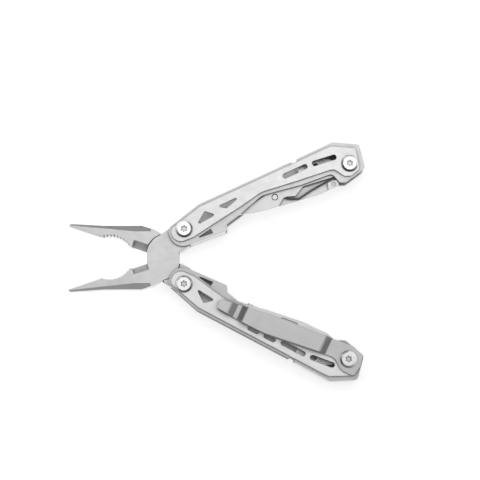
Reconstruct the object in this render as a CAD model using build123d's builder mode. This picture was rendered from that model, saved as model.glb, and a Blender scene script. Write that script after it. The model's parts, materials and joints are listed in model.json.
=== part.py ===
from build123d import *

import os
from math import asin, atan2, cos, degrees, hypot, radians, sin

# Driving dimensions, in millimetres and degrees

# Overall
HANDLE_LENGTH = 85.0  # from the tang pivot to the tail pivot of a handle
JAW_REACH = 47.4  # from the jaw pivot to the tip of a jaw
TANG_REACH = 16.5  # from the jaw pivot to a tang pivot

# The open pose in which the tool lies
JAW_ANGLE = 18.5  # each jaw from the line on which both close
TANG_ANGLE = 52.8  # each tang from the middle line
UPPER_ANGLE = 21.7  # the upper handle from the middle line
LOWER_ANGLE = 24.8  # the lower handle from the middle line

# Sheet, leaves and gaps of the stack
PLATE = 1.0  # outer plate
WALL = 1.1  # folded frame
TOOL = 1.6  # an inner tool of the upper handle
KNIFE = 2.0  # knife blade
SCISSOR_LEAF = 1.25  # one leaf of the scissors
LEAF_GAP = 0.1  # between the leaves of the scissors
SIDE_GAP = 0.2  # between neighbours in the stack, where a washer runs
WASHER = 0.15  # washer thickness
CLIP = 1.0  # clip spring sheet

# Fasteners
HEAD_RADIUS = 4.0
HEAD_HEIGHT = 1.2
HEAD_BEVEL = 0.85
POST_RADIUS = 2.5
SCREW_RADIUS = 1.5
SCREW_DEPTH = 6.0
RECESS_RADIUS = 1.15
RECESS_LOBE = 0.42
RECESS_DEPTH = 0.9
FIT = 0.05  # running fit on the radius

# Plier head
DISC_RADIUS = 7.7
DISC_GAP = 0.4
LAP_GAP = 0.03
SHOULDER = (-0.6, 11.2)  # where the outer edge of a jaw meets the tang, across the middle line
# cheeks that lead from the shoulders to the disc, as angle about the pivot and rise over the disc
TANG_CHEEK = ((115, 2.3), (139, 1.4), (158, 0.7), (176, 0))
JAW_CHEEK = ((-72, 2.7), (-50, 1.8), (-30, 1.0), (-10, 0))
TANG_END = 4.8  # round end of a tang, about its pivot
STOP = 0.35  # between the tang and the end of the frame's tab
JAW_WIDTH = 11.2
JAW_MIDDLE = (31.7, 5.5)  # a point of the outer edge, along and across the jaw
TIP_WIDTH = 1.3
TIP_THICKNESS = 5.2
BITE_GAP = 0.08
GRIP_START = 17.0
GRIP_END = 30.8
GRIP_DEPTH = 2.4
GRIP_TEETH = 9
GRIP_TOOTH = 0.55
TIP_PITCH = 0.9
TIP_TOOTH = 0.28
CUTTER_START = 8.2
CUTTER_END = 15.8
CUTTER_WIDTH = 3.5
FACET_ROOT = 14.5
FACET_WIDTH = 3.0
FACET_DEPTH = 1.3
FACET_RUNOUT = 5.0
CHEEK_ROUND = 4.0
HEEL = 0.7  # inner corner of a tang, beyond the disc
PIN_RADIUS = 2.5
PIN_HEAD = 3.6
PIN_SKIN = 1.2  # metal left over the blind end of the pin

# Handle
TAB_START = 0.0  # the folded tab behind the tang
TAB_END = 18.8
TAB_EDGE = 8.0
SPINE_START = 22.4  # the folded spine begins this far before the tail pivot
SPINE_EDGE = 12.7
TAIL_END = 7.8
BOSS_RADIUS = 5.6  # round end of every tool, about the tail pivot
TANG_WASHER = 4.6

# Tools, as their reach from the tail pivot
KNIFE_REACH = 65.2
SCISSOR_REACH = 64.0
FILE_REACH = 49.0
SAW_REACH = 54.0
OPENER_REACH = 23.8
DRIVER_REACH = 44.0
CROSS_DRIVER_REACH = 36.0
RIVET_REACH = 39.1  # scissors rivet
RIVET_OFFSET = -1.5
RIVET_RADIUS = 1.5
SPRING = 0.5

# Clip
CLIP_REACH = 66.4
CLIP_RISE = 2.2
CLIP_FOOT = 55.2  # where the strip comes down to the plate
CLIP_BEND = 11.2  # where the strip leaves the plate
CLIP_SLOPE = 3.0  # length of each slope of the strip
CLIP_FOOT_GAP = 0.2

# The stack from the back of the tool to its front
CHANNEL = 2 * SCISSOR_LEAF + LEAF_GAP + 3 * TOOL + 5 * SIDE_GAP
LOWER_TOOL = (CHANNEL - KNIFE - 5 * SIDE_GAP) / 3
REAR_PLATE_Z = HEAD_HEIGHT
REAR_WALL_Z = REAR_PLATE_Z + PLATE
CHANNEL_Z = REAR_WALL_Z + WALL
FRONT_WALL_Z = CHANNEL_Z + CHANNEL
FRONT_PLATE_Z = FRONT_WALL_Z + WALL
FRONT_Z = FRONT_PLATE_Z + PLATE
HEAD_THICKNESS = CHANNEL - 2 * SIDE_GAP
LAP_Z = CHANNEL_Z + CHANNEL / 2
FRAME_HEIGHT = CHANNEL + 2 * WALL

# Pivots and handle planes: X runs from the tang pivot to the tail pivot
TANG_X = TANG_REACH * cos(radians(TANG_ANGLE))
TANG_Y = TANG_REACH * sin(radians(TANG_ANGLE))
UPPER = Plane(origin=(TANG_X, TANG_Y, 0)).rotated((0, 0, UPPER_ANGLE))
LOWER = Plane(origin=(TANG_X, -TANG_Y, 0)).rotated((0, 0, -LOWER_ANGLE))

T = HANDLE_LENGTH
pieces = {}


class Outline(BaseSketchObject):
    """A closed outline through corner points, with its own round at each corner."""

    def __init__(self, points, rounds, mode=Mode.ADD):
        with BuildSketch(Plane.XY) as sketch:
            with BuildLine():
                Polyline(*points, close=True)
            make_face()
            for point, radius in zip(points, rounds):
                if radius > 0:
                    corner = sketch.vertices().sort_by_distance((*point, 0))[0]
                    fillet(corner, radius)
        super().__init__(sketch.sketch, mode=mode)


def spots(side, points):
    """Points of a handle drawing, along the handle and towards its spine."""
    return [(along, side * across) for along, across in points]


def cheek(corners, side, gap):
    """Corners of a cheek about the jaw pivot, on one side of the middle line."""
    base = DISC_RADIUS + gap
    return [
        ((base + rise) * cos(radians(angle)), side * (base + rise) * sin(radians(angle)))
        for angle, rise in corners
    ]


# Plier head: both halves are the same forging, one of them turned over


def from_jaw(point):
    """A point given along a jaw and outwards from its bite, in the plan of that half."""
    along, outwards = point
    turn = radians(JAW_ANGLE)
    return (outwards * sin(turn) - along * cos(turn), -along * sin(turn) - outwards * cos(turn))


def jaw_outline(shoulder, inner, smooth):
    """The plan of a jaw, closed towards the pivot by its shoulder and cheek."""
    jaw = [
        (CUTTER_START, BITE_GAP),
        (JAW_REACH, BITE_GAP),
        (JAW_REACH, TIP_WIDTH),
        JAW_MIDDLE,
        (GRIP_START - 2.5, JAW_WIDTH),
        (8.7, JAW_WIDTH),
    ]
    corners = [from_jaw(point) for point in jaw] + [shoulder] + inner
    cheek_rounds = [CHEEK_ROUND] * smooth + [0] * (len(inner) - smooth)
    Outline(corners, [0, 0, 0.9, 9, 3, 3, 0.6] + cheek_rounds)


def tang_outline(shoulder, inner, smooth, heel_radius, handle_angle):
    """The plan of a tang, with the corner that stops on the frame's tab."""
    turn = radians(handle_angle)
    stop_along = TAB_START - STOP
    stop_across = -TAB_EDGE - 0.1
    stop = (
        TANG_X + stop_along * cos(turn) - stop_across * sin(turn),
        TANG_Y + stop_along * sin(turn) + stop_across * cos(turn),
    )
    heel_angle = radians(JAW_ANGLE + 0.8)
    heel = (heel_radius * cos(heel_angle), heel_radius * sin(heel_angle))
    cheek_rounds = [0] * (len(inner) - smooth) + [CHEEK_ROUND] * smooth
    Outline(
        [shoulder, (3.2, 13.9), (TANG_X, TANG_Y), stop, heel] + inner,
        [0.4, 0, 0, 0.4, 0] + cheek_rounds,
    )
    with Locations((TANG_X, TANG_Y)):
        Circle(TANG_END)


def jaw_half(plane, handle_angle, pin_depth):
    """One half of the plier head, in a plane whose Z points to its own side of the lap."""
    half_thickness = HEAD_THICKNESS / 2
    turn = radians(180 + JAW_ANGLE)
    jaw_way = plane.x_dir * cos(turn) + plane.y_dir * sin(turn)
    jaw_plane = Plane(origin=plane.origin, x_dir=jaw_way, z_dir=plane.z_dir)
    across = Plane(origin=jaw_plane.origin, x_dir=jaw_plane.x_dir, z_dir=-jaw_plane.y_dir)
    cutter_origin = jaw_plane.origin + jaw_plane.x_dir * CUTTER_START
    cutter_plane = Plane(origin=cutter_origin, x_dir=jaw_plane.y_dir, z_dir=jaw_plane.x_dir)
    below = (SHOULDER[0], -SHOULDER[1])
    jaw_back = (below[0] - DISC_GAP, below[1])
    tang_back = (SHOULDER[0] + DISC_GAP, SHOULDER[1])
    tang_cheek = cheek(TANG_CHEEK, 1, 0)
    jaw_cheek = cheek(JAW_CHEEK, 1, 0)
    facing_tang = cheek(TANG_CHEEK, -1, DISC_GAP)
    facing_jaw = cheek(JAW_CHEEK, -1, DISC_GAP)
    with BuildPart() as half:
        with BuildSketch(plane.offset(LAP_GAP)):
            Circle(DISC_RADIUS)
            jaw_outline(below, jaw_cheek + [(0, 0)], 3)
            tang_outline(SHOULDER, [(0, 0)] + tang_cheek[::-1], 3, DISC_RADIUS + HEEL, handle_angle)
        extrude(amount=half_thickness - LAP_GAP)
        with BuildSketch(plane.offset(-half_thickness)):
            jaw_outline(jaw_back, facing_tang[:3], 2)
            tang_outline(tang_back, facing_jaw[2::-1], 3, DISC_RADIUS + HEEL + DISC_GAP, handle_angle)
            Circle(DISC_RADIUS + DISC_GAP, mode=Mode.SUBTRACT)
        extrude(amount=half_thickness + LAP_GAP)
        # the jaw thins towards its tip
        with BuildSketch(across):
            for face in (1, -1):
                with BuildLine():
                    Polyline(
                        (GRIP_START, face * half_thickness),
                        (JAW_REACH + 1, face * TIP_THICKNESS / 2),
                        (JAW_REACH + 1, face * (half_thickness + 1)),
                        (GRIP_START, face * (half_thickness + 1)),
                        close=True,
                    )
                make_face()
        extrude(amount=JAW_WIDTH + 3, both=True, mode=Mode.SUBTRACT)
        # a facet along the outer edge of each face
        for face in (1, -1):
            root_in = jaw_plane.from_local_coords(
                Vector(FACET_ROOT, JAW_WIDTH - FACET_WIDTH, face * half_thickness)
            )
            root_out = jaw_plane.from_local_coords(
                Vector(FACET_ROOT, JAW_WIDTH, face * (half_thickness - FACET_DEPTH))
            )
            tip_in = jaw_plane.from_local_coords(
                Vector(JAW_REACH, TIP_WIDTH / 2, face * TIP_THICKNESS / 2)
            )
            facet_way = (tip_in - root_in).cross(root_out - root_in) * face
            facet_length = JAW_REACH - FACET_ROOT
            with BuildSketch(Plane(origin=root_in, x_dir=tip_in - root_in, z_dir=facet_way)):
                with Locations((facet_length / 2, 3)):
                    Rectangle(facet_length + 2 * FACET_RUNOUT, 12)
            extrude(amount=4, mode=Mode.SUBTRACT)
        # pipe grip with its teeth, and the fine teeth of the tips
        grip_middle = (GRIP_START + GRIP_END) / 2
        grip_half = (GRIP_END - GRIP_START) / 2
        grip_radius = (grip_half**2 + GRIP_DEPTH**2) / (2 * GRIP_DEPTH)
        sweep_half = degrees(asin(grip_half / grip_radius)) - 5
        with BuildSketch(jaw_plane.offset(-half_thickness)):
            with Locations((grip_middle, GRIP_DEPTH - grip_radius)):
                Circle(grip_radius)
                with PolarLocations(
                    grip_radius, GRIP_TEETH, 90 - sweep_half, 2 * sweep_half, endpoint=True
                ):
                    RegularPolygon(GRIP_TOOTH * 1.3, 3)
            teeth = int((JAW_REACH - GRIP_END) / TIP_PITCH) - 1
            for tooth in range(teeth):
                with Locations((GRIP_END + (tooth + 1) * TIP_PITCH, BITE_GAP)):
                    RegularPolygon(TIP_TOOTH * 1.4, 4)
        extrude(amount=HEAD_THICKNESS, mode=Mode.SUBTRACT)
        # wire cutter, bevelled from both faces
        with BuildSketch(cutter_plane):
            for face in (1, -1):
                with BuildLine():
                    Polyline(
                        (CUTTER_WIDTH, face * (half_thickness + 0.1)),
                        (BITE_GAP, face * 0.3),
                        (-1, face * 0.3),
                        (-1, face * (half_thickness + 0.1)),
                        close=True,
                    )
                make_face()
        extrude(amount=CUTTER_END - CUTTER_START, mode=Mode.SUBTRACT)
        # holes for the pin and for the handle post
        with BuildSketch(plane):
            Circle(PIN_RADIUS + FIT)
        extrude(amount=pin_depth, mode=Mode.SUBTRACT)
        with BuildSketch(plane.offset(-half_thickness)):
            with Locations((TANG_X, TANG_Y)):
                Circle(POST_RADIUS + FIT)
        extrude(amount=HEAD_THICKNESS, mode=Mode.SUBTRACT)
    return half


front_plane = Plane(origin=(0, 0, LAP_Z))
rear_plane = Plane(origin=(0, 0, LAP_Z), x_dir=(1, 0, 0), z_dir=(0, 0, -1))
jaw_front = jaw_half(front_plane, UPPER_ANGLE, HEAD_THICKNESS / 2 - PIN_SKIN)
pieces["jaw_front"] = jaw_front

rear_half = jaw_half(rear_plane, LOWER_ANGLE, HEAD_THICKNESS / 2)
with BuildPart() as jaw_rear:
    add(rear_half.part)
    with BuildSketch(rear_plane.offset(HEAD_THICKNESS / 2)):
        Circle(PIN_HEAD + FIT)
    extrude(amount=-(PIN_HEAD - PIN_RADIUS), taper=45, mode=Mode.SUBTRACT)
pieces["jaw_rear"] = jaw_rear

with BuildPart() as jaw_pivot_pin:
    with BuildSketch(rear_plane.offset(HEAD_THICKNESS / 2)):
        Circle(PIN_HEAD)
    extrude(amount=-(PIN_HEAD - PIN_RADIUS), taper=45)
    with BuildSketch(rear_plane.offset(HEAD_THICKNESS / 2)):
        Circle(PIN_RADIUS)
    extrude(amount=-(HEAD_THICKNESS - PIN_SKIN - FIT))
pieces["jaw_pivot_pin"] = jaw_pivot_pin


# Handles: the drawing is the same for both, and the lower one is its mirror image


def wall_outline(side):
    """The plan of the folded frame's walls."""
    points = [
        (-7.6, 2.9),
        (10.6, 8.5),
        (T - 25.8, 11.2),
        (T - 25.2, 10.2),
        (T - SPINE_START - 0.9, 10.4),
        (T - SPINE_START - 0.3, 11.5),
        (T - 3.6, SPINE_EDGE),
        (T + TAIL_END, 6.9),
        (T + 6.0, -4.7),
        (T - 4.8, -7.6),
        (T - 7.8, -6.4),
        (T - 9.6, -1.3),
        (T - 25.0, -0.9),
        (40.5, 1.4),
        (28.4, -2.9),
        (TAB_END + 1.0, -5.2),
        (TAB_END, -TAB_EDGE),
        (-7.6, -TAB_EDGE + 0.4),
    ]
    rounds = [3, 3, 0.3, 0.4, 0.4, 0.3, 2, 1.5, 2, 1.5, 1.2, 2.5, 20, 9, 6, 0.8, 0.8, 6.5]
    Outline(spots(side, points), rounds)


def plate_outline(side):
    """The plan of an outer plate, a little smaller than the frame behind it."""
    points = [
        (-6.4, 2.2),
        (10.8, 7.2),
        (T - 8.4, 11.0),
        (T - 4.9, 11.0),
        (T + 5.4, 5.9),
        (T + 3.6, -4.2),
        (T - 1.5, -5.8),
        (T - 4.6, -4.8),
        (T - 8.0, 0.5),
        (T - 26.0, 1.5),
        (40.6, 2.9),
        (30.0, 0.3),
        (14.0, -2.9),
        (3.0, -5.2),
        (-6.4, -5.2),
    ]
    rounds = [3, 3, 2, 2, 1.5, 3, 1.5, 3, 4, 20, 12, 20, 9, 2, 4.4]
    Outline(spots(side, points), rounds)


def long_slot(side, start, finish, width):
    """A slot with round ends between the centres of its ends, in a handle drawing."""
    (x1, y1), (x2, y2) = spots(side, [start, finish])
    with Locations(((x1 + x2) / 2, (y1 + y2) / 2)):
        SlotCenterToCenter(hypot(x2 - x1, y2 - y1), width, rotation=degrees(atan2(y2 - y1, x2 - x1)))


def windows(side, short_slots):
    """The openings that lighten a plate and the wall behind it."""
    Outline(spots(side, [(5.9, -0.7), (12.2, 4.4), (16.5, 0.8)]), [0.6, 0.6, 0.6])
    Outline(spots(side, [(18.6, 4.2), (31.5, 5.0), (22.3, 1.7)]), [0.5, 0.5, 0.6])
    if short_slots:
        long_slot(side, (37.0, 5.9), (40.6, 6.1), 2.4)
        long_slot(side, (45.4, 6.2), (49.2, 6.4), 2.4)
    long_slot(side, (T - 30.9, 5.8), (T - 20.4, 6.5), 2.5)
    long_slot(side, (T - 15.5, 6.3), (T - 5.9, 5.6), 2.6)


def fold_strip(side, zone):
    """The part of the frame's outer fold that lies in a zone of the handle drawing."""
    wall_outline(side)
    offset(amount=-WALL, kind=Kind.INTERSECTION, mode=Mode.SUBTRACT)
    Outline(spots(side, zone), [0] * len(zone), mode=Mode.INTERSECT)


def make_frame(plane, side, short_slots):
    """The sheet frame: a vented front wall, a closed rear wall, the spine and the tang's tab."""
    spine_zone = [(T - SPINE_START, 8.5), (T - SPINE_START, 15), (T + 9, 15), (T + 9, 5.9), (T + 2, 5.9)]
    tab_zone = [(TAB_START, -6), (TAB_START, -9), (TAB_END - 0.8, -9), (TAB_END - 0.8, -6)]
    with BuildPart() as frame:
        for level in (REAR_WALL_Z, FRONT_WALL_Z):
            with BuildSketch(plane.offset(level)):
                wall_outline(side)
                with BuildSketch(mode=Mode.SUBTRACT):
                    if level == FRONT_WALL_Z:
                        windows(side, short_slots)
                        Outline(spots(side, [(3.4, -6.3), (11.9, -4.4), (12.1, -6.9)]), [0.3, 0.3, 0.3])
                    with Locations((0, 0), (T, 0)):
                        Circle(POST_RADIUS + FIT)
            extrude(amount=WALL)
        for zone in (spine_zone, tab_zone):
            with BuildSketch(plane.offset(REAR_WALL_Z)):
                fold_strip(side, zone)
            extrude(amount=FRAME_HEIGHT)
    return frame


def make_plate(plane, side, short_slots, level):
    """An outer plate."""
    with BuildPart() as plate:
        with BuildSketch(plane.offset(level)):
            plate_outline(side)
            with BuildSketch(mode=Mode.SUBTRACT):
                windows(side, short_slots)
                with Locations((0, 0), (T, 0)):
                    Circle(POST_RADIUS + FIT)
        extrude(amount=PLATE)
    return plate


def make_post(plane, along, top):
    """A headed post, bored for its screw, on which a tang or the tools turn."""
    with BuildPart() as post:
        with BuildSketch(plane):
            with Locations((along, 0)):
                Circle(HEAD_RADIUS)
        extrude(amount=HEAD_HEIGHT)
        chamfer(post.edges().sort_by(Axis.Z)[0], HEAD_BEVEL)
        with BuildSketch(plane.offset(HEAD_HEIGHT)):
            with Locations((along, 0)):
                Circle(POST_RADIUS)
        extrude(amount=top - HEAD_HEIGHT - FIT)
        with BuildSketch(plane.offset(top - SCREW_DEPTH - 1)):
            with Locations((along, 0)):
                Circle(SCREW_RADIUS + FIT)
        extrude(amount=SCREW_DEPTH + 1, mode=Mode.SUBTRACT)
    return post


def make_screw(plane, along, under_head):
    """A bevelled button screw with a six-lobed recess."""
    with BuildPart() as screw:
        with BuildSketch(plane.offset(under_head)):
            with Locations((along, 0)):
                Circle(HEAD_RADIUS)
        extrude(amount=HEAD_HEIGHT)
        chamfer(screw.edges().sort_by(Axis.Z)[-1], HEAD_BEVEL)
        with BuildSketch(plane.offset(under_head - SCREW_DEPTH)):
            with Locations((along, 0)):
                Circle(SCREW_RADIUS)
        extrude(amount=SCREW_DEPTH)
        with BuildSketch(plane.offset(under_head + HEAD_HEIGHT - RECESS_DEPTH)):
            with Locations((along, 0)):
                Circle(RECESS_RADIUS)
                with PolarLocations(RECESS_RADIUS, 6):
                    Circle(RECESS_LOBE)
        extrude(amount=RECESS_DEPTH, mode=Mode.SUBTRACT)
    return screw


def make_washers(plane, along, radius, levels):
    """The thin washers on one post, each as its own solid."""
    with BuildPart() as washers:
        for level in levels:
            with BuildSketch(plane.offset(level)):
                with Locations((along, 0)):
                    Circle(radius)
                    Circle(POST_RADIUS + FIT, mode=Mode.SUBTRACT)
            extrude(amount=WASHER)
    return washers


def leaf_levels(leaves):
    """The underside of each tool of a stack, listed from the front one to the rear one."""
    levels = []
    top = FRONT_WALL_Z
    for thickness in leaves:
        top = top - SIDE_GAP - thickness
        levels.append(top)
    return levels


UPPER_LEVELS = leaf_levels([2 * SCISSOR_LEAF + LEAF_GAP, TOOL, TOOL, TOOL])
LOWER_LEVELS = leaf_levels([KNIFE, LOWER_TOOL, LOWER_TOOL, LOWER_TOOL])

for name, plane, side, levels, extra in (
    ("upper", UPPER, 1, UPPER_LEVELS, 0),
    ("lower", LOWER, -1, LOWER_LEVELS, CLIP),
):
    is_lower = side < 0
    pieces[f"{name}_frame"] = make_frame(plane, side, is_lower)
    pieces[f"{name}_rear_plate"] = make_plate(plane, side, is_lower, REAR_PLATE_Z)
    pieces[f"{name}_front_plate"] = make_plate(plane, side, is_lower, FRONT_PLATE_Z)
    pieces[f"{name}_tang_post"] = make_post(plane, 0, FRONT_Z)
    pieces[f"{name}_tang_screw"] = make_screw(plane, 0, FRONT_Z)
    pieces[f"{name}_tail_post"] = make_post(plane, T, FRONT_Z + extra)
    pieces[f"{name}_tail_screw"] = make_screw(plane, T, FRONT_Z + extra)
    tang_levels = [CHANNEL_Z, FRONT_WALL_Z - WASHER]
    pieces[f"{name}_tang_washers"] = make_washers(plane, 0, TANG_WASHER, tang_levels)
    tool_levels = [level - WASHER for level in levels] + [FRONT_WALL_Z - WASHER]
    pieces[f"{name}_tool_washers"] = make_washers(plane, T, BOSS_RADIUS - 0.4, tool_levels)


# Tools: every one is a leaf with a round end on the tail post


def tool_blank(side, points, rounds):
    """The plan of a tool: its body, the round end and the pivot hole."""
    Outline(spots(side, points), rounds)
    with Locations((T, 0)):
        Circle(BOSS_RADIUS)
        Circle(POST_RADIUS + FIT, mode=Mode.SUBTRACT)


def make_tool(plane, side, level, thickness, points, rounds):
    """A flat tool at its level in the stack."""
    with BuildPart() as tool:
        with BuildSketch(plane.offset(level)):
            tool_blank(side, points, rounds)
        extrude(amount=thickness)
    return tool


def cut_grooves(plane, side, level, first, last, across, count, width, length, depth):
    """A row of short grooves cut into the front face of a leaf."""
    with BuildSketch(plane.offset(level)) as grooves:
        for groove in range(count):
            along = first + (last - first) * groove / (count - 1)
            with Locations((along, side * across)):
                Rectangle(width, length)
    extrude(grooves.sketch, amount=-depth, mode=Mode.SUBTRACT)


# Knife blade, with its thumb jimping, nail nick and ground edge
knife_points = [
    (T - 5, -4.4),
    (T - 14, -7.2),
    (T - 26, -7.4),
    (T - 43, -5.6),
    (T - 57, -3.6),
    (T - KNIFE_REACH, -1.9),
    (T - 57, -1.4),
    (T - 49, 0.6),
    (T - 40, 1.9),
    (T - 19, 2.4),
    (T - 17, 1.4),
    (T - 14, 1.4),
    (T - 6, 4.6),
]
knife_blank = make_tool(
    LOWER, -1, LOWER_LEVELS[0], KNIFE, knife_points, [0, 3, 6, 20, 20, 0, 12, 14, 20, 0.5, 0.8, 3, 0]
)
with BuildPart() as knife_blade:
    add(knife_blank.part)
    with BuildSketch(LOWER.offset(LOWER_LEVELS[0])):
        for notch in range(4):
            with Locations((T - 22.5 + notch * 1.4, 7.35)):
                Circle(0.35)
    extrude(amount=KNIFE, mode=Mode.SUBTRACT)
    with BuildSketch(LOWER.offset(LOWER_LEVELS[0] + KNIFE)):
        long_slot(-1, (T - 36, -4.6), (T - 29, -5.0), 1.2)
    extrude(amount=-0.5, mode=Mode.SUBTRACT)
pieces["knife_blade"] = knife_blade

# Scissors: the fixed leaf lies in front, the lever leaf behind it
scissor_top = UPPER_LEVELS[0] + SCISSOR_LEAF + LEAF_GAP
rivet_x = T - RIVET_REACH
scissor_points = [
    (T - SCISSOR_REACH, -1.9),
    (T - 56.5, -3.3),
    (T - 50.3, -4.9),
    (T - 43.5, -5.9),
    (T - 38.8, -6.0),
    (T - 35.4, -3.4),
    (T - 33.6, -3.4),
    (T - 29.8, -4.7),
    (T - 24.7, -1.7),
    (T - 4, -3.2),
    (T - 4, 4.2),
    (T - 25, 3.6),
    (T - 35, 2.9),
    (T - 45, 0.5),
    (T - 53, -1.3),
]
scissors_blank = make_tool(
    UPPER,
    1,
    scissor_top,
    SCISSOR_LEAF,
    scissor_points,
    [0, 9, 12, 9, 0.8, 0.6, 0.6, 1, 1.5, 0, 0, 6, 9, 9, 9],
)
with BuildPart() as scissors_blade:
    add(scissors_blank.part)
    with BuildSketch(UPPER.offset(UPPER_LEVELS[0])):
        with Locations((T, 0)):
            Circle(BOSS_RADIUS)
            Circle(POST_RADIUS + FIT, mode=Mode.SUBTRACT)
    extrude(amount=SCISSOR_LEAF + LEAF_GAP)
    with BuildSketch(UPPER.offset(scissor_top)):
        with Locations((rivet_x, RIVET_OFFSET)):
            Circle(RIVET_RADIUS + FIT)
    extrude(amount=SCISSOR_LEAF, mode=Mode.SUBTRACT)
pieces["scissors_blade"] = scissors_blade

lever_points = [
    (T - 62.5, -2.2),
    (T - 53, -3.7),
    (T - 43, -5.3),
    (T - 38.6, -6.1),
    (T - 30.6, -6.9),
    (T - 19, -7.9),
    (T - 8.3, -7.5),
    (T - 8.0, -4.6),
    (T - 19, -3.4),
    (T - 31, -0.4),
    (T - 39, 1.2),
    (T - 47, -0.5),
    (T - 55, -1.9),
]
with BuildPart() as scissors_lever:
    with BuildSketch(UPPER.offset(UPPER_LEVELS[0])):
        Outline(spots(1, lever_points), [0, 9, 9, 9, 9, 9, 1, 1, 9, 9, 4, 9, 9])
        with Locations((rivet_x, RIVET_OFFSET)):
            Circle(RIVET_RADIUS + FIT, mode=Mode.SUBTRACT)
    extrude(amount=SCISSOR_LEAF)
    # thumb pad with its dimple
    with BuildSketch(UPPER.offset(UPPER_LEVELS[0] + SCISSOR_LEAF)):
        pad = [(T - 14.0, -7.75), (T - 8.3, -7.5), (T - 8.0, -4.6), (T - 13.0, -4.4)]
        Outline(spots(1, pad), [0.2, 1, 1, 0.5])
    extrude(amount=SCISSOR_LEAF)
    with BuildSketch(UPPER.offset(UPPER_LEVELS[0] + 2 * SCISSOR_LEAF)):
        with Locations((T - 10.6, -6.0)):
            Circle(1.0)
    extrude(amount=-0.4, mode=Mode.SUBTRACT)
pieces["scissors_lever"] = scissors_lever

with BuildPart() as scissors_rivet:
    with BuildSketch(UPPER.offset(UPPER_LEVELS[0])):
        with Locations((rivet_x, RIVET_OFFSET)):
            Circle(RIVET_RADIUS)
    extrude(amount=2 * SCISSOR_LEAF + LEAF_GAP)
    chamfer(scissors_rivet.edges().group_by(Axis.Z)[-1], 0.3)
pieces["scissors_rivet"] = scissors_rivet

with BuildPart() as scissors_spring:
    with BuildSketch(UPPER.offset(scissor_top)):
        with BuildLine(Plane.XY) as bend:
            FilletPolyline(
                (T - 34.5, -3.9),
                (T - 31.8, -5.3),
                (T - 28.8, -6.4),
                (T - 22, -4.9),
                (T - 7.5, -2.75),
                radius=1.2,
            )
        trace(bend.edges(), line_width=SPRING)
    extrude(amount=SCISSOR_LEAF)
pieces["scissors_spring"] = scissors_spring


# Short openers, with the ribbed rest that shows through the plate's last slot


def make_opener(plane, side, level, thickness, hook):
    """A short opener with a hooked end and a ribbed face."""
    reach = T - OPENER_REACH
    points = [
        (T - 4, -4.4),
        (T - 12, -5.4),
        (reach, -4.2),
        (reach, 0.4),
        (reach + hook, 0.8),
        (reach + hook, 3.4),
        (reach, 3.2),
        (reach, 8.6),
        (T - 12, 8.9),
        (T - 5, 4.6),
    ]
    blank = make_tool(plane, side, level, thickness, points, [0, 3, 1.5, 0.4, 1, 1, 0.4, 1.5, 3, 0])
    with BuildPart() as opener:
        add(blank.part)
        with BuildSketch(plane.offset(level)):
            long_slot(side, (T - 15.6, 5.7), (T - 14.6, 5.7), 2.4)
        extrude(amount=thickness, mode=Mode.SUBTRACT)
        cut_grooves(plane, side, level + thickness, T - 12.4, T - 4.6, 5.9, 8, 0.55, 2.6, 0.5)
    return opener


pieces["bottle_opener"] = make_opener(UPPER, 1, UPPER_LEVELS[1], TOOL, 4.5)
pieces["can_opener"] = make_opener(LOWER, -1, LOWER_LEVELS[1], LOWER_TOOL, 3.0)


# Long inner tools: bars that narrow towards the plier head, which folds in beside them


def bar_points(reach, tip_low, tip_high):
    """The plan of a bar tool, from its shank to its squared end."""
    end = T - reach
    return [
        (T - 4, -4.4),
        (T - 12, -4.6),
        (T - 17, -4.2),
        (end, tip_low),
        (end, tip_high),
        (T - 17, 1.6),
        (T - 12, 4.0),
        (T - 5, 4.6),
    ]


BAR_ROUNDS = [0, 3, 3, 0.4, 0.4, 3, 3, 0]

file_tool_blank = make_tool(UPPER, 1, UPPER_LEVELS[2], TOOL, bar_points(FILE_REACH, -3.2, 1.6), BAR_ROUNDS)
with BuildPart() as file_tool:
    add(file_tool_blank.part)
    cut_grooves(UPPER, 1, UPPER_LEVELS[2] + TOOL, T - FILE_REACH + 1.5, T - 20, -0.9, 24, 0.5, 4.2, 0.2)
pieces["file"] = file_tool

cross_driver_blank = make_tool(
    UPPER, 1, UPPER_LEVELS[3], TOOL, bar_points(CROSS_DRIVER_REACH, -2.4, 0.4), BAR_ROUNDS
)
with BuildPart() as cross_driver:
    add(cross_driver_blank.part)
    tip_axis = UPPER.from_local_coords((T - CROSS_DRIVER_REACH + 2.6, -1.0, UPPER_LEVELS[3] + TOOL / 2))
    with BuildSketch(Plane(origin=tip_axis, x_dir=UPPER.y_dir, z_dir=-UPPER.x_dir)):
        Rectangle(TOOL, 0.5)
        Rectangle(0.5, TOOL)
    extrude(amount=5)
pieces["phillips_driver"] = cross_driver

saw_tool_blank = make_tool(
    LOWER, -1, LOWER_LEVELS[2], LOWER_TOOL, bar_points(SAW_REACH, -5.2, -1.0), BAR_ROUNDS
)
with BuildPart() as saw_tool:
    add(saw_tool_blank.part)
    with BuildSketch(LOWER.offset(LOWER_LEVELS[2])):
        for tooth in range(16):
            along = T - SAW_REACH + 1.2 + tooth * 1.9
            across = 5.15 - tooth * 0.058
            with Locations((along, across)):
                RegularPolygon(0.75, 3, rotation=-90)
    extrude(amount=LOWER_TOOL, mode=Mode.SUBTRACT)
pieces["saw_blade"] = saw_tool

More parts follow.
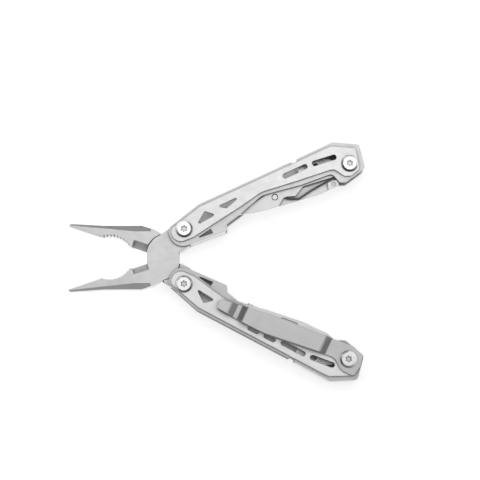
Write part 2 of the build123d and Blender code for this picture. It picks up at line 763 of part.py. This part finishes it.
flat_driver_blank = make_tool(
    LOWER, -1, LOWER_LEVELS[3], LOWER_TOOL, bar_points(DRIVER_REACH, -3.4, 1.4), BAR_ROUNDS
)
with BuildPart() as flat_driver:
    add(flat_driver_blank.part)
    tip_x = T - DRIVER_REACH
    side_plane = Plane(origin=LOWER.origin, x_dir=LOWER.x_dir, z_dir=-LOWER.y_dir)
    with BuildSketch(side_plane):
        for face, way in ((LOWER_LEVELS[3] + LOWER_TOOL, 1), (LOWER_LEVELS[3], -1)):
            with BuildLine():
                Polyline(
                    (tip_x - 1, face - way * 0.7), (tip_x + 7, face), (tip_x - 1, face + way), close=True
                )
            make_face()
    extrude(amount=8, both=True, mode=Mode.SUBTRACT)
pieces["flat_driver"] = flat_driver


# Pocket clip, held under the head of the lower tail screw
clip_points = [
    (T - CLIP_REACH, -0.4),
    (T - 55, -2.2),
    (T - 41, -3.8),
    (T - 12, -5.6),
    (T - 1, -6.6),
    (T + 5.4, -4.6),
    (T + 6.4, 0.5),
    (T + 5.4, 6.2),
    (T - 1, 6.2),
    (T - 6, 2.2),
    (T - 12, 2.5),
    (T - 41, 5.5),
    (T - 51, 5.2),
    (T - CLIP_REACH, 3.9),
]
profile_plane = Plane(
    origin=LOWER.from_local_coords((0, 0, FRONT_Z)), x_dir=LOWER.x_dir, z_dir=-LOWER.y_dir
)
with BuildPart() as pocket_clip:
    with BuildSketch(profile_plane):
        with BuildLine() as strip:
            FilletPolyline(
                (T + 9, 0),
                (T - CLIP_BEND, 0),
                (T - CLIP_BEND - CLIP_SLOPE, CLIP_RISE),
                (T - CLIP_FOOT + CLIP_SLOPE, CLIP_RISE),
                (T - CLIP_FOOT, CLIP_FOOT_GAP),
                (T - CLIP_FOOT - 2.6, CLIP_FOOT_GAP),
                (T - CLIP_FOOT - 2.6 - CLIP_SLOPE, CLIP_RISE),
                (T - CLIP_REACH - 1, CLIP_RISE + 0.2),
                radius=1.2,
            )
            offset(amount=CLIP, side=Side.RIGHT)
        make_face()
    extrude(amount=14, both=True)
    with BuildSketch(LOWER.offset(FRONT_Z - 1)):
        Outline(spots(-1, clip_points), [1.6, 6, 30, 20, 4, 2, 3, 1.5, 6, 5, 9, 30, 20, 1.6])
        with Locations((T, 0)):
            Circle(POST_RADIUS + FIT, mode=Mode.SUBTRACT)
    extrude(amount=CLIP_RISE + CLIP + 3, mode=Mode.INTERSECT)
pieces["pocket_clip"] = pocket_clip


# The middle of the whole outline is the origin, on the surface under the tool
whole = Compound([piece.part for piece in pieces.values()]).bounding_box()
middle = whole.center()
shift = Location((-middle.X, -middle.Y, -whole.min.Z))

os.makedirs("parts", exist_ok=True)
for name, piece in pieces.items():
    placed = piece.part.moved(shift)
    placed.label = name
    export_step(placed, f"parts/{name}.step")
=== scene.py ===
"""Looks of the open multi tool: brushed and blasted steel, seen almost straight down."""
import json
from math import cos, radians, sin

import bpy
from mathutils import Euler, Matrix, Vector

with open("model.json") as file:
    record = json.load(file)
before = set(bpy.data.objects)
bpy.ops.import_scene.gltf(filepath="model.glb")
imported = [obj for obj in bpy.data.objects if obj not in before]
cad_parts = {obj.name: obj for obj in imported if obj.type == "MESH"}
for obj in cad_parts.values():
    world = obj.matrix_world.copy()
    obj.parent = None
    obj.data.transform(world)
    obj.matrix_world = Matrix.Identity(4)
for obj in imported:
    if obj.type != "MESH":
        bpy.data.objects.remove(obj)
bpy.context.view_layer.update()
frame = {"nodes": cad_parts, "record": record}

MM = 0.001

# Camera: a long lens above the tool, tipped a little towards -Y
CAMERA_DISTANCE = 0.70
CAMERA_TILT = radians(8)
CAMERA_ROLL = radians(-0.14)
CAMERA_TARGET = Vector((0.0107, 0.0105, 0.008))
VIEW_WIDTH = 0.22944
SENSOR_WIDTH = 36  # Blender takes this one in millimetres

# Light: three softboxes, as name, place, size and power
SOFTBOXES = (
    ("overhead", (0.10, 0.45, 1.1), (1.2, 0.8), 2.0),
    ("left_side", (-0.9, 0.1, 0.55), (0.5, 0.9), 0.6),
    ("right_side", (0.9, -0.2, 0.6), (0.4, 0.9), 0.4),
)

# Table: pale paper that glows a little
FLOOR_SIDE = 4
FLOOR_GLOW = 0.66
FLOOR_ROUGHNESS = 0.9
FLOOR_NOISE_SCALE = 40
FLOOR_TONE = (0.90, 0.92)

# Sky: places on its ramp, from the horizon up, and the colours there
SKY_STRENGTH = 0.53
SKY = (
    (0.32, (0.03, 0.03, 0.032, 1)),
    (0.66, (0.32, 0.32, 0.325, 1)),
    (0.85, (1.0, 1.0, 1.0, 1)),
)

# Steel: noise scales along the brush lines, across them and through the sheet
FINE_BRUSH = (60, 2600, 900)
BROAD_BRUSH = (14, 520, 260)
SPECKLE_SCALE = 5200
CLOUD_SCALE = 90
SMUDGE_SCALE = 260
GRAIN_RELIEF = 6
GRIT_RELIEF = 12
RELIEF_DEPTH = 0.02 * MM

# Painted shade in corners, from full to none by how open they are, and worn edges, from bright to plain
# by how well the rounded and the true normal agree
PAINTED_SHADE_REACH = 4.5 * MM
PAINTED_SHADE_OPENNESS = (0.25, 0.92)
WORN_EDGE = 0.22 * MM
WORN_AGREEMENT = (0.86, 0.995)
SMUDGE_WEAR = (0.15, 0.9)

# Bevel of the sharp edges, in millimetres
EDGE_WIDTH = 0.12
EDGE_WIDTHS = {
    "upper_front_plate": 0.22,
    "lower_front_plate": 0.22,
    "upper_rear_plate": 0.22,
    "lower_rear_plate": 0.22,
    "jaw_front": 0.10,
    "jaw_rear": 0.10,
    "pocket_clip": 0.15,
    "scissors_spring": 0.05,
    "upper_tool_washers": 0.02,
    "lower_tool_washers": 0.02,
    "upper_tang_washers": 0.02,
    "lower_tang_washers": 0.02,
}


# ---------------------------------------------------------------- materials


class Nodes:
    """A short way to write a material's node tree."""

    def __init__(self, name):
        self.material = bpy.data.materials.new(name)
        self.material.use_nodes = True
        self.tree = self.material.node_tree
        self.shader = self.tree.nodes["Principled BSDF"]
        self.place = self.add("ShaderNodeTexCoord").outputs["Object"]

    def add(self, kind, **settings):
        node = self.tree.nodes.new(kind)
        for key, value in settings.items():
            setattr(node, key, value)
        return node

    def link(self, output, socket):
        self.tree.links.new(output, socket)

    def mapped(self, scale, angle):
        """Object coordinates, turned about Z and then stretched."""
        turn = self.add("ShaderNodeMapping")
        turn.inputs["Rotation"].default_value = (0, 0, angle)
        self.link(self.place, turn.inputs["Vector"])
        stretch = self.add("ShaderNodeMapping")
        stretch.inputs["Scale"].default_value = scale
        self.link(turn.outputs["Vector"], stretch.inputs["Vector"])
        return stretch.outputs["Vector"]

    def noise(self, vector, scale, detail=3.0, roughness=0.6):
        node = self.add("ShaderNodeTexNoise")
        node.inputs["Scale"].default_value = scale
        node.inputs["Detail"].default_value = detail
        node.inputs["Roughness"].default_value = roughness
        self.link(vector, node.inputs["Vector"])
        return node.outputs["Fac"]

    def span(self, value, low, high, start=0.3, end=0.7):
        """Maps start ... end to low ... high, by default from the middle of a noise's range."""
        node = self.add("ShaderNodeMapRange")
        node.inputs["From Min"].default_value = start
        node.inputs["From Max"].default_value = end
        node.inputs["To Min"].default_value = low
        node.inputs["To Max"].default_value = high
        self.link(value, node.inputs["Value"])
        return node.outputs["Result"]

    def around_one(self, value, spread):
        """Maps a texture to a factor that strays from 1 by the spread."""
        return self.span(value, 1 - spread, 1 + spread)

    def combine(self, first, second, operation="MULTIPLY"):
        node = self.add("ShaderNodeMath", operation=operation)
        self.link(first, node.inputs[0])
        self.link(second, node.inputs[1])
        return node.outputs["Value"]

    def lit(self, color, value):
        """The colour, a socket or fixed, with its brightness multiplied by the value."""
        node = self.add("ShaderNodeHueSaturation")
        if isinstance(color, tuple):
            node.inputs["Color"].default_value = color
        else:
            self.link(color, node.inputs["Color"])
        self.link(value, node.inputs["Value"])
        return node.outputs["Color"]

    def mix(self, factor, first, fixed):
        """Blends from the first colour, a socket, to a fixed one."""
        node = self.add("ShaderNodeMix", data_type="RGBA")
        self.link(factor, node.inputs["Factor"])
        self.link(first, node.inputs["A"])
        node.inputs["B"].default_value = fixed
        return node.outputs["Result"]


def grey(value):
    """A neutral colour."""
    return (value, value, value, 1.0)


WHITE = grey(1.0)
WORN_TONE = grey(0.93)


def steel(
    name, tone, roughness, grain_angle, grain=0.06, grit=0.0, contrast=0.06, painted_shade=0.85, bump=0.25
):
    """Worn stainless steel.

    grain is the strength of brush lines along grain_angle, grit that of bead blasting. Shade is painted
    into the corners, darker where they are closed in, and edges that are handled are brighter.
    """
    nodes = Nodes(name)
    shader = nodes.shader
    shader.inputs["Metallic"].default_value = 1.0
    lines = nodes.noise(nodes.mapped(FINE_BRUSH, -grain_angle), 1.0, detail=5, roughness=0.65)
    coarse = nodes.noise(nodes.mapped(BROAD_BRUSH, -grain_angle), 1.0)
    speckle = nodes.noise(nodes.place, SPECKLE_SCALE, detail=2)
    cloud = nodes.noise(nodes.place, CLOUD_SCALE, detail=4, roughness=0.55)
    smudge = nodes.noise(nodes.place, SMUDGE_SCALE, detail=5, roughness=0.7)

    level = nodes.combine(nodes.around_one(lines, grain), nodes.around_one(coarse, grain / 2))
    level = nodes.combine(level, nodes.around_one(speckle, grit))
    level = nodes.combine(level, nodes.around_one(cloud, contrast))

    # painted shade in the corners, darker where ambient occlusion finds them closed in
    corner = nodes.add("ShaderNodeAmbientOcclusion", samples=8)
    corner.inputs["Distance"].default_value = PAINTED_SHADE_REACH
    shade = nodes.span(corner.outputs["AO"], 1 - painted_shade, 1.0, *PAINTED_SHADE_OPENNESS)
    shaded = nodes.lit(nodes.lit(tone, level), shade)

    # bright worn edges
    edge = nodes.add("ShaderNodeBevel", samples=6)
    edge.inputs["Radius"].default_value = WORN_EDGE
    geometry = nodes.add("ShaderNodeNewGeometry")
    facing = nodes.add("ShaderNodeVectorMath", operation="DOT_PRODUCT")
    nodes.link(edge.outputs["Normal"], facing.inputs[0])
    nodes.link(geometry.outputs["Normal"], facing.inputs[1])
    on_edge = nodes.span(facing.outputs["Value"], 1.0, 0.0, *WORN_AGREEMENT)
    worn = nodes.combine(on_edge, nodes.span(smudge, *SMUDGE_WEAR))
    nodes.link(nodes.mix(worn, shaded, WORN_TONE), shader.inputs["Base Color"])

    handled = nodes.span(smudge, roughness * 0.88, roughness * 1.14)
    rough = nodes.combine(handled, nodes.span(lines, 0.92, 1.08))
    nodes.link(rough, shader.inputs["Roughness"])

    line_height = nodes.span(lines, 0, grain * GRAIN_RELIEF)
    grit_height = nodes.span(speckle, 0, grit * GRIT_RELIEF)
    relief = nodes.add("ShaderNodeBump")
    relief.inputs["Strength"].default_value = bump
    relief.inputs["Distance"].default_value = RELIEF_DEPTH
    nodes.link(nodes.combine(line_height, grit_height, "ADD"), relief.inputs["Height"])
    nodes.link(edge.outputs["Normal"], relief.inputs["Normal"])
    nodes.link(relief.outputs["Normal"], shader.inputs["Normal"])
    return nodes.material


def handle_angle(fold_joint, tail_joint):
    """Direction of a handle at rest, from its two pivots."""
    places = {joint["name"]: Vector(joint["pos_m"]) for joint in frame["record"]["behaviour"]["joints"]}
    way = places[tail_joint] - places[fold_joint]
    return -Vector((1, 0)).angle_signed(way.to_2d())


UPPER = handle_angle("upper_fold", "scissors_out")
LOWER = handle_angle("lower_fold", "knife_out")
ACROSS = radians(90)
JAW_GRAIN = radians(9)
BLASTED = {"grain": 0.012, "grit": 0.03, "contrast": 0.03}

# Every steel darkens its corners with painted shade; the openers get less of it.
STEELS = {
    "upper_plate": steel("upper_plate_steel", grey(0.97), 0.42, UPPER, **BLASTED),
    "lower_plate": steel("lower_plate_steel", grey(0.97), 0.42, LOWER, **BLASTED),
    # The frames are one steel; the lower frame's darker tone is painted shade, for its walls that face
    # away from the light.
    "upper_frame": steel("upper_frame_steel", grey(0.74), 0.36, UPPER, grain=0.04, contrast=0.05),
    "lower_frame": steel("lower_frame_steel", grey(0.66), 0.36, LOWER, grain=0.04, contrast=0.05),
    "jaw": steel("jaw_steel", grey(0.86), 0.44, JAW_GRAIN, grain=0.03, contrast=0.04),
    "clip": steel("clip_steel", grey(0.66), 0.34, LOWER, grain=0.03, contrast=0.04),
    "screw": steel("screw_steel", grey(0.97), 0.20, 0.3, grain=0.02, contrast=0.03, bump=0.08),
    "post": steel("post_steel", grey(0.74), 0.28, 0.9, grain=0.04),
    "scissors": steel("scissor_steel", grey(0.80), 0.36, UPPER + ACROSS, grain=0.025),
    "knife": steel("knife_steel", grey(0.80), 0.34, LOWER + ACROSS, grain=0.03),
    "upper_tool": steel("upper_tool_steel", grey(0.66), 0.36, UPPER, grain=0.06),
    "lower_tool": steel("lower_tool_steel", grey(0.60), 0.38, LOWER, grain=0.06),
    "upper_opener": steel("upper_opener_steel", grey(0.97), 0.36, UPPER, grain=0.04, painted_shade=0.3),
    "lower_opener": steel("lower_opener_steel", grey(0.90), 0.38, LOWER, grain=0.04, painted_shade=0.45),
    "spring": steel("spring_steel", grey(0.06), 0.34, UPPER, grain=0.05),
    "washer": steel("washer_bronze", (0.62, 0.45, 0.22, 1.0), 0.40, 0.2, grain=0.05),
}

STEEL_BY_NODE = {
    "jaw_front": "jaw",
    "jaw_rear": "jaw",
    "jaw_pivot_pin": "post",
    "pocket_clip": "clip",
    "scissors_blade": "scissors",
    "scissors_lever": "scissors",
    "scissors_rivet": "post",
    "scissors_spring": "spring",
    "knife_blade": "knife",
    "bottle_opener": "upper_opener",
    "can_opener": "lower_opener",
    "file": "upper_tool",
    "phillips_driver": "upper_tool",
    "saw_blade": "lower_tool",
    "flat_driver": "lower_tool",
}
STEEL_BY_ENDING = {"screw": "screw", "washers": "washer", "post": "post"}


def steel_of(node):
    """The steel that a node is made of. Plates and frames have one for each handle."""
    if node in STEEL_BY_NODE:
        return STEELS[STEEL_BY_NODE[node]]
    handle, _, ending = node.partition("_")
    kind = ending.split("_")[-1]
    return STEELS[STEEL_BY_ENDING.get(kind, f"{handle}_{kind}")]


def dress(node, cad_object):
    """Gives a CAD node its steel and a small real bevel on its sharp edges."""
    material = steel_of(node)
    for slot in cad_object.material_slots:
        slot.material = material
    bevel = cad_object.modifiers.new("edges", "BEVEL")
    bevel.width = EDGE_WIDTHS.get(node, EDGE_WIDTH) * MM
    bevel.segments = 2
    bevel.limit_method = "ANGLE"
    bevel.angle_limit = radians(40)
    bevel.harden_normals = True


for node, cad_object in frame["nodes"].items():
    dress(node, cad_object)


# ---------------------------------------------------------------- studio


def make_floor():
    """A plain pale table, far larger than the tool."""
    bpy.ops.mesh.primitive_plane_add(size=FLOOR_SIDE, location=(0, 0, 0))
    floor = bpy.context.active_object
    floor.name = "floor"
    nodes = Nodes("floor_paper")
    nodes.shader.inputs["Roughness"].default_value = FLOOR_ROUGHNESS
    nodes.shader.inputs["Emission Strength"].default_value = FLOOR_GLOW
    nodes.shader.inputs["Emission Color"].default_value = WHITE
    tone = nodes.span(nodes.noise(nodes.place, FLOOR_NOISE_SCALE, detail=4), *FLOOR_TONE)
    nodes.link(nodes.lit(WHITE, tone), nodes.shader.inputs["Base Color"])
    floor.data.materials.append(nodes.material)


def make_world():
    """Soft light from overhead that falls off towards the horizon."""
    world = bpy.data.worlds.new("studio")
    bpy.context.scene.world = world
    world.use_nodes = True
    tree = world.node_tree
    background = tree.nodes["Background"]
    background.inputs["Strength"].default_value = SKY_STRENGTH
    place = tree.nodes.new("ShaderNodeTexCoord")
    split = tree.nodes.new("ShaderNodeSeparateXYZ")
    ramp = tree.nodes.new("ShaderNodeValToRGB")
    tree.links.new(place.outputs["Generated"], split.inputs["Vector"])
    tree.links.new(split.outputs["Z"], ramp.inputs["Fac"])
    tree.links.new(ramp.outputs["Color"], background.inputs["Color"])
    stops = ramp.color_ramp.elements
    stops.new(0.5)
    for stop, (height, color) in zip(stops, SKY):
        stop.position = height
        stop.color = color


def make_softbox(name, place, size, power):
    """A rectangular studio light that faces the table under the tool's middle."""
    light = bpy.data.lights.new(name, "AREA")
    light.shape = "RECTANGLE"
    light.size, light.size_y = size
    light.energy = power
    holder = bpy.data.objects.new(name, light)
    bpy.context.collection.objects.link(holder)
    holder.location = place
    holder.rotation_euler = Vector(place).to_track_quat("Z", "Y").to_euler()


def make_camera():
    """The camera above the tool."""
    data = bpy.data.cameras.new("camera")
    data.sensor_width = SENSOR_WIDTH
    data.lens = SENSOR_WIDTH * CAMERA_DISTANCE / VIEW_WIDTH
    data.clip_start = 0.01
    camera = bpy.data.objects.new("camera", data)
    bpy.context.collection.objects.link(camera)
    away = Vector((0, -sin(CAMERA_TILT), cos(CAMERA_TILT))) * CAMERA_DISTANCE
    camera.location = CAMERA_TARGET + away
    camera.rotation_euler = Euler((CAMERA_TILT, 0, CAMERA_ROLL))
    bpy.context.scene.camera = camera


make_floor()
make_world()
for softbox in SOFTBOXES:
    make_softbox(*softbox)
make_camera()

scene = bpy.context.scene
scene.view_settings.view_transform = "Standard"
scene.view_settings.look = "None"
scene.view_settings.exposure = 0.0
